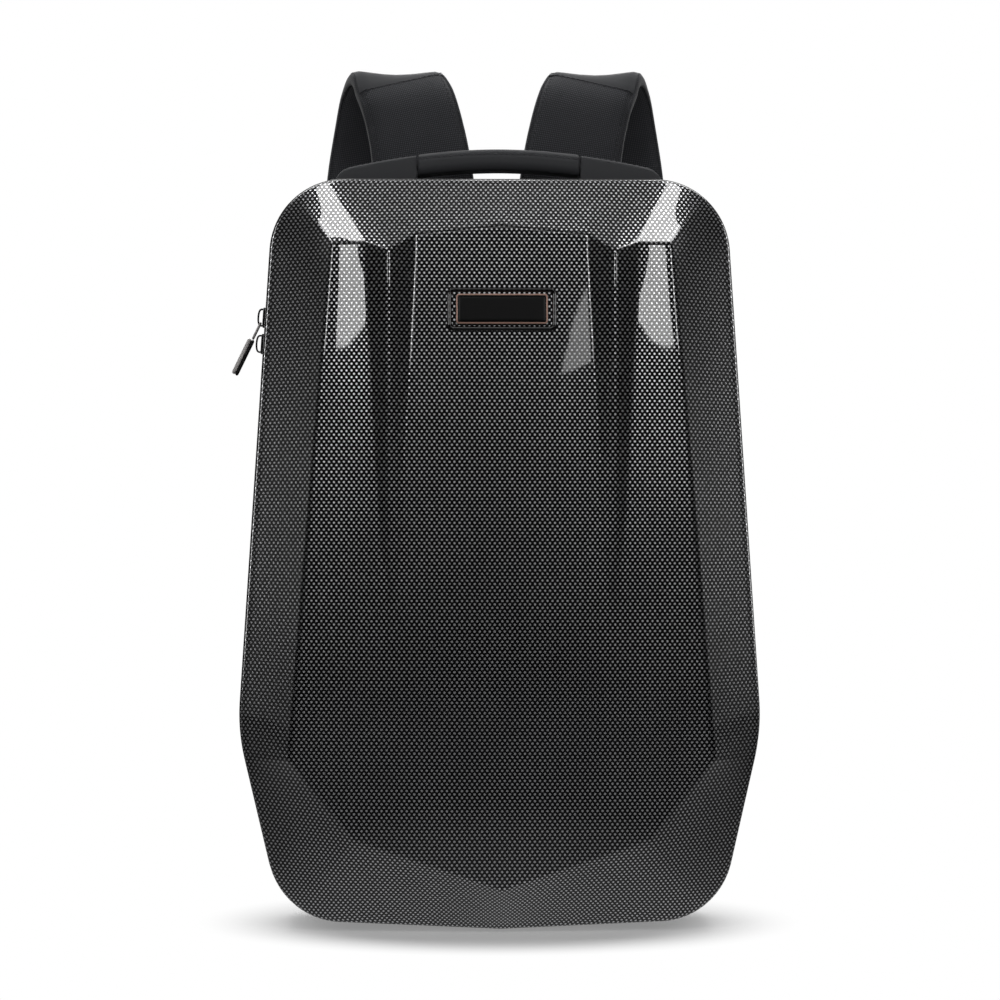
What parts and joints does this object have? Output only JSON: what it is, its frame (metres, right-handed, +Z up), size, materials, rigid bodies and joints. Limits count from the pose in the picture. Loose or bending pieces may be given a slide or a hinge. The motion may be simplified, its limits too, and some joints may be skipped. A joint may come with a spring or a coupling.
{
  "type": "hard shell backpack",
  "caption": "Standing hard shell backpack with a faceted dot-patterned front shell, fabric gusset, padded straps in a raised loop, top handle and a swinging side zip pull.",
  "frame": {"origin": "on the floor, on the flat base of the fabric gusset, at the middle of its width and of the gusset's depth", "axes": "+Z up, the shell faces -Y, the wearer's back is toward +Y, +X to the viewer's right"},
  "size_m": [0.3406, 0.2287, 0.5643],
  "materials": {
    "shell": "black moulded polycarbonate with a silvery dot print under gloss",
    "piping": "black satin",
    "cloth": "matt woven polyester",
    "zip_tape": "matt zip tape",
    "zip_teeth": "nylon coil teeth",
    "air_mesh": "padded, fine black mesh",
    "leatherette": "smooth black leatherette",
    "badge_plate": "black satin",
    "badge_frame": "polished, copper coloured",
    "buckle": "moulded, fine grain",
    "webbing": "ribbed webbing",
    "slider": "black satin",
    "pull_metal": "polished",
    "pull_rubber": "matt"
  },
  "bodies": {
    "bag": {"shell": "shell", "rim_piping": "piping", "front_gusset": "cloth", "zip_tape": "zip_tape", "zip_chain": "zip_teeth", "gusset": "cloth", "back_panel": "cloth", "back_pad_left": "air_mesh", "back_pad_right": "air_mesh", "badge_plate": "badge_plate", "badge_frame": "badge_frame", "handle_strap": "leatherette", "handle_grip": "leatherette", "shoulder_strap_left": "air_mesh", "shoulder_strap_right": "air_mesh", "adjuster_left": "buckle", "adjuster_right": "buckle", "webbing_left": "webbing", "webbing_right": "webbing", "lower_tab_left": "cloth", "lower_tab_right": "cloth", "slider_upper": "slider", "slider_lower": "slider"},
    "zip_pull": {"pull_link": "pull_metal", "pull_tab": "pull_metal", "pull_backing": "pull_rubber"}
  },
  "joints": [
    {"name": "pull_swing", "type": "hinge", "parent": "bag", "child": "zip_pull", "pos_m": [-0.15447, -0.0256, 0.38932], "axis": [0, 1, 0], "range_deg": [0, 110]}
  ]
}
